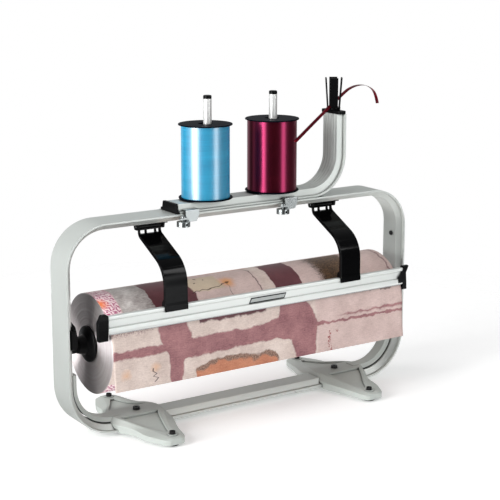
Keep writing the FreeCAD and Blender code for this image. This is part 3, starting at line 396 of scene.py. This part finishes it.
class Print(Net):
    """The wrapping paper's print, drawn in millimetres: x along the roll, v along the paper."""

    def __init__(self, name, **sockets):
        super().__init__(name, **sockets)
        self.flat = self.node("UVMap", uv_map=PRINT_UV).outputs[0]
        parts = self.node("SeparateXYZ", self.flat)
        self.plain_x = self.times(self.math("SUBTRACT", parts.outputs[0], 0.5), PRINT_REACH)
        self.plain_v = self.times(parts.outputs[1], PRINT_REACH)
        self.x = self.add(self.plain_x, self.wander(30, 3.6))
        self.v = self.add(self.plain_v, self.wander(42, 3.0))
        self.blotch = self.noise(self.flat, 16, 6, 0.6)
        self.grain = self.noise(self.flat, 240, 3, 0.7)
        self.streaks = self.noise(self.mapped(self.flat, (70, 420, 1), 0.25), 1, 5, 0.7, 0.8)
        self.tone = self.add(self.times(self.blotch, 0.4),
                             self.add(self.times(self.grain, 0.25),
                                      self.times(self.streaks, 0.35)))
        self.upper = self.above(self.v, UPPER_FACE, 4)
        self.cream = self.mottled((186, 164, 156), (238, 222, 212))
        self.maroon = self.mottled((80, 40, 46), (112, 62, 68), 0.36, 0.64)
        self.picture = None

    def wander(self, scale, reach):
        """Irregular shift that gives drawn edges a hand-cut line."""
        return self.span(self.noise(self.flat, scale, 2.5, 0.5), 0.2, 0.8, -reach, reach)

    def mottled(self, dark, light, low=0.35, high=0.65):
        return self.tones(self.tone, low, high, linear(*dark), linear(*light))

    def curve(self, along, points, reach, rise):
        """Value that goes through (along, value) points, each in millimetres."""
        made = self.node("FloatCurve")
        line = made.mapping.curves[0]
        spots = [((a - reach[0]) / (reach[1] - reach[0]), (b - rise[0]) / (rise[1] - rise[0]))
                 for a, b in sorted(points)]
        line.points[0].location = spots[0]
        line.points[1].location = spots[-1]
        for spot in spots[1:-1]:
            line.points.new(*spot)
        for point in line.points:
            point.handle_type = "VECTOR"
        made.mapping.update()
        self.set(made, Value=self.span(along, *reach))
        return self.span(made.outputs[0], 0, 1, *rise)

    def edge_x(self, points):
        return self.curve(self.v, points, ALONG_SPAN, ACROSS_SPAN)

    def edge_v(self, points):
        return self.curve(self.x, points, ROLL_SPAN, ALONG_SPAN)

    def above(self, value, low, soft=2.6):
        """1 where value is over low."""
        gap = self.math("SUBTRACT", value, low)
        return self.math("MULTIPLY_ADD", gap, 1 / soft, 0.5, clamp=True)

    def strip(self, value, low, high, soft=2.6):
        return self.times(self.above(value, low, soft),
                          self.without(self.above(value, high, soft)))

    def patch(self, left, right, low, high, soft=2.6):
        return self.times(self.strip(self.x, left, right, soft),
                          self.strip(self.v, low, high, soft))

    def post(self, left, right, soft=1.2):
        """Strip that runs over the roll's upper face only."""
        return self.times(self.upper, self.strip(self.x, left, right, soft))

    def stroke(self, along, begin, end, across, middle, half, soft):
        """Drawn line of a given half width that follows a curve."""
        return self.times(
            self.strip(along, begin, end, 0.5),
            self.strip(across, self.add(middle, -half), self.add(middle, half), soft))

    def union(self, *masks):
        whole = masks[0]
        for mask in masks[1:]:
            whole = self.math("MAXIMUM", whole, mask)
        return whole

    def spot(self, x, v, inner, outer):
        """1 inside the inner radius, 0 outside the outer one."""
        far = self.distance(self.math("SUBTRACT", self.x, x), self.math("SUBTRACT", self.v, v))
        return self.span(far, outer, inner)

    def paint(self, mask, colour, strength=1.0):
        """Lays a colour over the picture where the mask is 1."""
        if strength != 1.0:
            mask = self.times(mask, strength)
        self.picture = self.colour(mask, self.picture, colour)


def paint_ground(net):
    """Cream paper that turns pink on the upper face and at the right."""
    pink = net.mottled((182, 156, 150), (228, 204, 198))
    net.picture = net.colour(net.union(net.upper, net.above(net.x, 88, 4)), net.cream, pink)


def paint_bands(net):
    """Mauve bands that cross in the free sheet."""
    post_one = net.strip(net.x, net.edge_x([(80, -162), (120, -163), (142, -176), (186, -178)]),
                         net.edge_x([(80, -146), (111, -139), (124, -124), (140, -128),
                                     (186, -131)]))
    post_two = net.strip(net.x, net.edge_x([(80, 50), (110, 43), (116, 12), (142, 17), (151, 22),
                                            (186, 30)]),
                         net.edge_x([(80, 83), (125, 89), (136, 87), (166, 71), (186, 66)]))
    beam_one = net.patch(-260, -165, 125.5, 137.5)
    beam_two = net.times(net.strip(net.x, -140, 60), net.strip(
        net.v, net.edge_v([(-140, 111), (-38, 115), (10, 116), (60, 108)]),
        net.edge_v([(-140, 140), (-38, 139.5), (-5, 141), (16, 147), (60, 155)])))
    beam_three = net.times(net.above(net.x, 85, 3), net.strip(
        net.v, 123.6, net.edge_v([(85, 131), (110, 127), (250, 128)]), 1.5))
    thin_line = net.times(net.above(net.x, 132, 30), net.strip(
        net.v, 132.2, net.edge_v([(85, 133.6), (180, 135), (250, 137)])))
    bands = net.union(post_one, post_two, beam_one, beam_two, beam_three, thin_line)
    net.paint(net.times(bands, net.without(net.upper)),
              net.mottled((112, 62, 72), (184, 132, 132), 0.36, 0.64))


def paint_torn_patch(net):
    """Dark strip, and the torn orange patch with its ragged dark border."""
    net.paint(net.patch(-111, 3, 158, 176), net.maroon)
    rim = net.edge_v([(-124, 92), (-121, 96), (-99, 101), (-85, 104.5), (-40, 104), (-26, 99),
                      (1, 101), (12, 98), (17, 88)])
    torn = net.times(net.strip(net.x, -122, 17), net.without(net.above(net.v, rim)))
    heart = net.math("SUBTRACT", rim, net.span(net.blotch, 0.3, 0.7, 2, 11))
    rust = net.mottled((168, 98, 70), (212, 146, 112))
    ragged = net.tones(net.grain, 0.4, 0.6, linear(104, 72, 62), linear(160, 128, 110))
    net.paint(torn, net.colour(net.above(net.v, heart), rust, ragged))


def paint_scribbled_corner(net):
    scrawl = net.node("TexWave", wave_type="BANDS", bands_direction="DIAGONAL")
    net.set(scrawl, Vector=net.flat, Scale=40, Distortion=9, Detail=3, Detail_Scale=2)
    berry = net.tones(scrawl.outputs["Fac"], 0.05, 0.5, linear(168, 52, 108),
                      linear(236, 214, 216))
    berry = net.colour(net.spot(-246, 212, 2, 13), berry, linear(222, 120, 70))
    net.paint(net.times(net.upper, net.without(net.above(net.x, -223, 1.2))), berry)


def paint_posts(net):
    """Shaded paper, dark posts, a sandy field and a cream strip on the upper face."""
    smoke = net.add(net.times(net.blotch, 0.5), net.times(net.streaks, 0.5))
    net.paint(net.post(-222, -173),
              net.tones(smoke, 0.36, 0.62, linear(222, 216, 212), linear(120, 104, 102)))
    net.paint(net.post(-173, -101), net.maroon)
    net.paint(net.post(29, 77), net.maroon)
    net.paint(net.patch(-104, -52, 205, 241, 2), net.mottled((188, 168, 146), (214, 196, 172)))
    net.paint(net.post(8, 28), net.cream)


def paint_branch(net):
    """Twig with a glowing flower and a few berries, and a bare trunk beside it."""
    net.paint(net.spot(-42, 217, 1, 15), linear(228, 150, 62), 0.9)
    twig = net.curve(net.plain_x, [(-106, 203), (-96, 206), (-87, 208), (-74, 207), (-59, 210),
                                   (-42, 217)], (-110, -38), ALONG_SPAN)
    stem = net.stroke(net.plain_x, -106, -42, net.v, twig, 0.7, 0.6)
    stalk = net.times(net.strip(net.x, -44.6, -43.4, 0.5), net.strip(net.v, 190, 217, 0.5))
    trunk = net.post(4.6, 6.4, 0.6)
    dots = net.union(net.spot(-42, 217, 1.6, 3.2), net.spot(-84, 236, 1.2, 2.6),
                     net.spot(-76, 233, 0.8, 1.8), net.spot(-91, 224, 1, 2))
    ink = net.union(stem, net.times(stalk, 0.6), net.times(trunk, 0.8), dots)
    net.paint(ink, linear(52, 26, 24), 0.9)


def paint_fleece(net):
    """Shaggy dark hatching and a thin arc, at the right of the upper face."""
    wool = net.noise(net.mapped(net.flat, (90, 420, 1), 0.5), 1, 5, 0.75, 1.2)
    fur = net.tones(wool, 0.42, 0.66, linear(38, 22, 18), linear(150, 112, 76))
    fleece = net.times(net.above(net.x, net.span(wool, 0.3, 0.7, 104, 126), 14),
                       net.without(net.above(net.x, 178, 3)))
    net.paint(net.times(fleece, net.upper), fur)
    net.paint(net.post(241, 243.4, 0.8), linear(120, 72, 76), 0.7)


def paint_small_marks(net):
    """Dashes, blank tags, a splash, warm spots and a zigzag sprig on the free sheet."""
    dash = net.above(net.noise(net.flat, 210, 2, 0.5), 0.52, 0.04)
    marks = net.times(dash, net.union(net.patch(108, 113, 80, 114, 0.6),
                                      net.patch(122, 126, 108, 113, 0.8)))
    net.paint(marks, linear(140, 36, 36), 0.95)
    tags = net.union(net.patch(191, 206, 162, 168, 0.8), net.patch(210, 231, 161, 167, 0.8))
    net.paint(tags, linear(84, 72, 58), 0.7)
    net.paint(net.times(dash, net.patch(-250, -185, 158, 170, 5)), linear(136, 84, 96), 0.6)
    warm = net.union(net.spot(-186, 108, 1, 9), net.spot(-232, 104, 1, 9))
    net.paint(warm, linear(228, 176, 130), 0.55)
    zigzag = net.curve(net.plain_v, [(88, -188), (93, -182), (96, -190), (99, -184),
                                     (103, -190), (108, -189)], (84, 110), ACROSS_SPAN)
    sprig = net.stroke(net.plain_v, 88, 107, net.plain_x, zigzag, 1.0, 0.8)
    net.paint(sprig, linear(60, 34, 40), 0.9)


def printed_paper():
    net = Print("printed_paper", Roughness=0.46)
    for part in (paint_ground, paint_bands, paint_torn_patch, paint_scribbled_corner,
                 paint_posts, paint_branch, paint_fleece, paint_small_marks):
        part(net)
    return net.finish(Base_Color=net.picture,
                      Normal=net.bump(net.noise(net.flat, 900, 4, 0.6), 0.12, 0.00005))


def print_place(x, arc):
    """Place in the print of a point x along the roll and arc along the paper, in metres."""
    return (x / (PRINT_REACH * MM) + 0.5, arc / (PRINT_REACH * MM))


# ------------------------------------------------------------------ loose ribbon

def spline_points(points):
    """Points along the smooth NURBS line of a route."""
    curve = bpy.data.curves.new("ribbon_line", "CURVE")
    curve.dimensions = "3D"
    curve.resolution_u = 24
    spline = curve.splines.new("NURBS")
    spline.points.add(len(points) - 1)
    for point, place in zip(spline.points, points):
        point.co = (*place, 1)
    spline.order_u = 3
    spline.use_endpoint_u = True
    holder = add_object("ribbon_line", curve)
    bpy.context.view_layer.update()
    mesh = bpy.data.meshes.new_from_object(holder)
    line = [vertex.co.copy() for vertex in mesh.vertices]
    bpy.data.objects.remove(holder)
    bpy.data.meshes.remove(mesh)
    return line


def ribbon_material():
    net = Net("curling_ribbon", Roughness=0.3, Metallic=0.8)
    fine = net.noise(net.coordinates(), 1500, 4, 0.6)
    wide = net.noise(net.coordinates(), 60, 3, 0.5)
    return net.finish(
        Base_Color=net.tones(wide, 0.35, 0.65, linear(96, 10, 28), linear(126, 16, 36)),
        Normal=net.bump(fine, 0.15, 0.00005))


def flat_ribbon():
    """Curling ribbon: its width lies level, so the curl shows its edge at the top."""
    line = spline_points(RIBBON_POINTS)
    last = len(line) - 1
    run = line[-1] - line[0]
    across = Vector((-run.y, run.x, 0)).normalized()
    mesh = bmesh.new()
    rings = []
    for index, place in enumerate(line):
        ahead = (line[min(index + 1, last)] - line[max(index - 1, 0)]).normalized()
        wide = (across - ahead * across.dot(ahead)).normalized()
        up = ahead.cross(wide)
        share = index / last
        lean = math.radians(RIBBON_LEAN_START * (1 - share) ** 1.5
                            - RIBBON_LEAN_END * max(0, share - 0.75) / 0.25)
        wide, up = (wide * math.cos(lean) + up * math.sin(lean),
                    up * math.cos(lean) - wide * math.sin(lean))
        rings.append([
            mesh.verts.new(place + wide * side * RIBBON_WIDTH / 2
                           + up * RIBBON_THICK * (top + RIBBON_CROWN * (1 - side ** 2)))
            for side, top in RIBBON_SECTION])
    for first, second in zip(rings, rings[1:]):
        bridge(mesh, first, second)
    mesh.faces.new(rings[0][::-1])
    mesh.faces.new(rings[-1])
    for face in mesh.faces:
        face.smooth = True
    bmesh.ops.recalc_face_normals(mesh, faces=mesh.faces)
    strand = piece("loose_ribbon", mesh_data("loose_ribbon", mesh), [ribbon_material()], "frame",
                   "red_ribbon", "ribbon_strand")


# ------------------------------------------------------------------ roll and free sheet

def roll_edge_material():
    """Cut edges of the wound paper: fine rings that stretch each reflection into a wedge."""
    net = Net("paper_edges", Roughness=0.36, Metallic=0.95, Anisotropic=0.98,
              Anisotropic_Rotation=0.25)
    parts = net.node("SeparateXYZ", net.coordinates())
    far = net.distance(net.math("SUBTRACT", parts.outputs[1], ROLL_Y),
                       net.math("SUBTRACT", parts.outputs[2], ROLL_Z))
    layers = net.line_noise(far, 2600, 3)
    colour = net.tones(net.line_noise(far, 160, 4), 0.3, 0.7, linear(232, 222, 222),
                       linear(246, 240, 240))
    colour = net.colour(net.span(layers, 0.3, 0.7, 0, 0.25), colour, linear(196, 170, 172))
    tangent = net.node("Tangent", direction_type="RADIAL", axis="X")
    return net.finish(Base_Color=colour, Tangent=tangent.outputs[0],
                      Normal=net.bump(layers, 0.25, 0.00008))


def roll_profile():
    """Profile of the roll, with its wound layers standing a little uneven at both ends."""
    rng = random.Random(7)
    half = ROLL_HIGH.x
    inner = CORE_RADIUS + INNER_CLEARANCE
    outer = ROLL_RADIUS - OUTER_CLEARANCE
    ends = []
    for k in range(ROLL_LAYERS + 1):
        inset = rng.uniform(0.0, ROLL_UNEVEN) + (LAST_LAYER_INSET if k == ROLL_LAYERS else 0)
        ends.append((inner + (outer - inner) * k / ROLL_LAYERS, half - inset))
    profile = [(radius, -x) for radius, x in ends] + [(ROLL_RADIUS, -half + ROLL_EDGE)]
    profile += [(ROLL_RADIUS, -half + (2 * half) * k / 24) for k in range(1, 24)]
    return profile + [(ROLL_RADIUS, half - ROLL_EDGE)] + ends[::-1]


def wound_roll():
    """Roll with printed paper round it and cut edges at its ends."""
    profile = roll_profile()
    bands = [1 if abs(a[0] - b[0]) > 1e-9 else 0 for a, b in zip(profile, profile[1:])] + [1]
    roll = lathe("wound_roll", profile, (0, ROLL_Y, ROLL_Z), "X", ROLL_STEPS,
                 [paper, roll_edge_material()], "roll", "printed_paper", "paper_roll", bands)
    data = roll.data
    layer = data.uv_layers.new(name=PRINT_UV)
    for face in data.polygons:
        middle = Vector(face.center)
        turn = math.atan2(middle.z - ROLL_Z, -(middle.y - ROLL_Y))
        arc = ROLL_Z + ROLL_RADIUS * turn
        base = math.floor((arc - PRINT_LOW) / PRINT_REPEAT) * PRINT_REPEAT
        for corner in face.loop_indices:
            place = data.vertices[data.loops[corner].vertex_index].co
            own = math.atan2(place.z - ROLL_Z, -(place.y - ROLL_Y))
            own += round((turn - own) / (2 * math.pi)) * 2 * math.pi
            layer.data[corner].uv = print_place(place.x, ROLL_Z + ROLL_RADIUS * own - base)


def free_sheet():
    """Free end of the paper: laid on the roll under the bar, then hanging with a slight cockle."""
    low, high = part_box("paper_web")
    radius = ROLL_RADIUS + SHEET_GAP
    lead = math.asin(min(0.99, (high.z - ROLL_Z) / (radius + 0.0005)))
    drop = ROLL_Z - low.z
    length = radius * lead + drop

    def station(along):
        """Line (y, z) of the sheet, its share of the drop, and its place along the paper."""
        down = along - radius * lead
        if down < 0:
            turn = lead - along / radius
            return (ROLL_Y - radius * math.cos(turn), ROLL_Z + radius * math.sin(turn), 0.0,
                    ROLL_Z + ROLL_RADIUS * turn)
        share = down / drop
        flare = max(0.0, share - SHEET_STRAIGHT) / (1 - SHEET_STRAIGHT)
        y = ROLL_Y - radius - SHEET_FLARE * flare ** 1.6
        return y, ROLL_Z - down, share, ROLL_Z - down

    mesh = bmesh.new()
    layer = mesh.loops.layers.uv.new(PRINT_UV)
    grid = []
    arcs = []
    for row in range(SHEET_ROWS + 1):
        y, z, share, arc = station(length * row / SHEET_ROWS)
        left = low.x + SHEET_INSETS[0] * row / SHEET_ROWS
        right = high.x - SHEET_INSETS[1] * row / SHEET_ROWS
        line = []
        for column in range(SHEET_COLUMNS + 1):
            x = left + (right - left) * column / SHEET_COLUMNS
            wave = noise.noise(Vector((x * 14, 3.1, z * 9))) * 0.5 + math.sin(x * 31 + 1.2) * 0.35
            line.append(mesh.verts.new((x, y - abs(wave) * SHEET_COCKLE * share, z)))
        grid.append(line)
        arcs.append(arc)
    for row in range(SHEET_ROWS):
        for column in range(SHEET_COLUMNS):
            face = mesh.faces.new((grid[row][column], grid[row + 1][column],
                                   grid[row + 1][column + 1], grid[row][column + 1]))
            face.smooth = True
            for loop, which in zip(face.loops, (row, row + 1, row + 1, row)):
                loop[layer].uv = print_place(loop.vert.co.x, arcs[which])
    sheet = piece("free_sheet", mesh_data("free_sheet", mesh), [paper, paper_back],
                  "roll_carrier", "printed_paper", "paper_web")
    solid = sheet.modifiers.new("thickness", "SOLIDIFY")
    solid.thickness = SHEET_THICK
    solid.offset = -1
    solid.material_offset = 1
    solid.material_offset_rim = 1


# ------------------------------------------------------------------ wound ribbon on the spools

def winding_material(name, dark, light, **sockets):
    """Satin film wound in level turns: highlights run up the winding, across its turns."""
    net = Net(name, Anisotropic_Rotation=0.25, **sockets)
    lines = net.noise(net.coordinates((0.02, 0.02, 1)), 900, 4, 0.7)
    broad = net.noise(net.coordinates((0.2, 0.2, 1)), 60, 3, 0.5)
    mixed = net.add(net.times(lines, 0.5), net.times(broad, 0.5))
    tangent = net.node("Tangent", direction_type="RADIAL", axis="Z")
    return net.finish(Base_Color=net.tones(mixed, 0.35, 0.65, dark, light),
                      Tangent=tangent.outputs[0], Normal=net.bump(lines, 0.18, 0.00008))


def winding(name, node, material, slot, body, pitch, depth):
    """Ribbon wound to and fro: shallow ridges at the ribbon's pitch."""
    low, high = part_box(node)
    radius = (high.x - low.x) / 2
    steps = int((high.z - low.z) / pitch) * 4
    rng = random.Random(len(name))
    profile = [(WINDING_CORE, low.z)]
    for k in range(steps + 1):
        wave = 0.5 - 0.5 * math.cos(2 * math.pi * k / 4)
        loose = rng.uniform(0, 0.25) if k % 4 == 0 else 0
        profile.append((radius - depth * (wave + loose), low.z + (high.z - low.z) * (k / steps)))
    profile.append((WINDING_CORE, high.z))
    lathe(name, profile, ((low.x + high.x) / 2, 0, 0), "Z", WINDING_STEPS, [material], body, slot,
          node)


# ------------------------------------------------------------------ blank plate on the bar

def blank_plate():
    """Slanted plate with a black rim round a plain sunk field."""
    low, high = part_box("label_plate")
    mesh = bmesh.new()

    def ring(inset, y):
        lean = PLATE_SLANT + inset * 0.6
        return [mesh.verts.new(place) for place in (
            (low.x + inset, y, low.z + inset), (high.x - lean, y, low.z + inset),
            (high.x - inset, y, high.z - inset), (low.x + lean, y, high.z - inset))]

    rings = [ring(0, high.y), ring(0, low.y + PLATE_STEP), ring(PLATE_STEP, low.y),
             ring(PLATE_RIM, low.y), ring(PLATE_RIM + PLATE_STEP, low.y + PLATE_SUNK)]
    for first, second in zip(rings, rings[1:]):
        bridge(mesh, first, second)
    mesh.faces.new(rings[-1]).material_index = 1
    mesh.faces.new(rings[0][::-1])
    bmesh.ops.recalc_face_normals(mesh, faces=mesh.faces)
    field = surface("plate_field", linear(176, 180, 178), metallic=0.6, grain=(0.1, 1, 1),
                    spread=0.2, shade=0.08, edge=0.0001)
    piece("blank_plate", mesh_data("blank_plate", mesh), [FINISHES["black_plastic"], field],
          "cutter", "label", "label_plate")


paper = printed_paper()
paper_back = surface("plain_paper", linear(238, 236, 232), roughness=0.6, grain_scale=1200,
                     shade=0.02, bump=0.2, edge=0.0001)
flat_ribbon()
wound_roll()
free_sheet()
winding("blue_winding", "blue_ribbon",
        winding_material("blue_film", linear(0, 124, 166), linear(14, 156, 196), IOR=2.7,
                         Roughness=0.34, Anisotropic=0.4),
        "blue_ribbon", "spool_blue", 0.0022, 0.00007)
winding("red_winding", "red_ribbon",
        winding_material("red_film", linear(24, 4, 5), linear(48, 6, 8), IOR=2.6,
                         Specular_Tint=(1, 0.10, 0.30, 1), Roughness=0.28, Anisotropic=0.6),
        "red_ribbon", "spool_red", 0.0024, 0.00012)
blank_plate()


# ------------------------------------------------------------------ camera, light, floor and room

def camera_and_lights():
    lens = bpy.data.cameras.new("camera")
    camera = add_object("camera", lens)
    camera.location = CAMERA_PLACE
    look_at(camera, CAMERA_TARGET)
    lens.sensor_width = 36
    lens.lens = CAMERA_LENS
    lens.shift_x, lens.shift_y = CAMERA_SHIFT
    lens.clip_end = 200
    bpy.context.scene.camera = camera
    bpy.context.scene.view_settings.view_transform = "Standard"
    for name, place, target, width, height, power in SOFTBOXES:
        light = bpy.data.lights.new(name, "AREA")
        light.shape = "RECTANGLE"
        light.size = width
        light.size_y = height
        light.energy = power
        lamp = add_object(name, light)
        lamp.location = place
        look_at(lamp, (0, 0, target))


def floor():
    """Round pale floor that fades into the backdrop, with two dark areas for glossy rays only."""
    mesh = bmesh.new()
    bmesh.ops.create_circle(mesh, cap_ends=True, segments=96, radius=FLOOR_RADIUS)
    data = mesh_data("floor", mesh)
    net = Net("pale_floor", Roughness=0.9)
    place = net.coordinates()

    def dark_area(across, across_reach, along, along_reach):
        beside = net.math("ABSOLUTE", net.dot(place, across))
        return net.times(net.span(beside, *across_reach, 1, 0),
                         net.span(net.dot(place, along), *along_reach))

    shade = net.math("MAXIMUM", dark_area(ALONG_SCREEN, (0.25, 0.5), TO_SCREEN, (0.05, 0.2)),
                     dark_area(TO_LEFT, (0.25, 0.55), TO_FRONT, (0.15, 0.4)))
    shade = net.times(shade, net.node("LightPath").outputs["Is Glossy Ray"])
    far = net.node("VectorMath", place, operation="LENGTH").outputs["Value"]
    white = net.tones(net.noise(place, 3, 3), 0.3, 0.7, linear(248, 248, 248),
                      linear(251, 251, 251))
    data.materials.append(net.finish(
        Alpha=net.span(far, 0.42, 0.95, 1, 0),
        Base_Color=net.colour(shade, white, linear(70, 70, 70)),
        Emission_Color=WHITE, Emission_Strength=net.times(net.without(shade), FLOOR_GLOW)))
    add_object("floor", data)


def surroundings():
    """White backdrop for the camera, soft fill for matt surfaces, a dim room for glossy ones."""
    world = bpy.data.worlds.new("studio")
    bpy.context.scene.world = world
    world.use_nodes = True
    net = Nodes(world.node_tree)
    way = net.node("TexCoord").outputs["Generated"]
    level = net.math("MAXIMUM", net.add(net.dot(way, ROOM_SLOPE), ROOM_LEVEL), ROOM_LOWEST)
    # dark screen behind the object, and a dimmed middle in front of it
    beside = net.span(net.math("ABSOLUTE", net.dot(way, ALONG_SCREEN)), 0.12, 0.42, 1, 0)
    screen = net.times(beside, net.span(net.dot(way, TO_SCREEN), 0, 0.3, 0, 0.9))
    dimmer = net.span(net.dot(way, FRONT_DIMMER), 0.72, 0.93, 1, 0.12)
    level = net.times(level, net.times(net.without(screen), dimmer))
    # tall bright strips to the left and right of the front
    height = net.node("SeparateXYZ", way).outputs[2]
    frontal = net.times(net.span(height, 0.30, 0.46, 1, 0),
                        net.span(net.dot(way, TO_FRONT), 0.02, 0.12, 0, 1))
    turn = net.dot(way, TO_LEFT)
    for begin, full, end, gone, power in BRIGHT_STRIPS:
        strip = net.times(net.span(turn, begin, full, 0, power), net.span(turn, end, gone, 1, 0))
        level = net.add(level, net.times(strip, frontal))
    path = net.node("LightPath")
    room = net.node("Background", ROOM_TINT, level)
    fill = net.node("Background", WHITE, MATT_FILL)
    backdrop = net.node("Background", WHITE, 1.0)
    unseen = net.node("MixShader", path.outputs["Is Diffuse Ray"], room.outputs[0],
                      fill.outputs[0])
    whole = net.node("MixShader", path.outputs["Is Camera Ray"], unseen.outputs[0],
                     backdrop.outputs[0])
    net.feed(net.tree.nodes["World Output"].inputs[0], whole.outputs[0])


camera_and_lights()
floor()
surroundings()
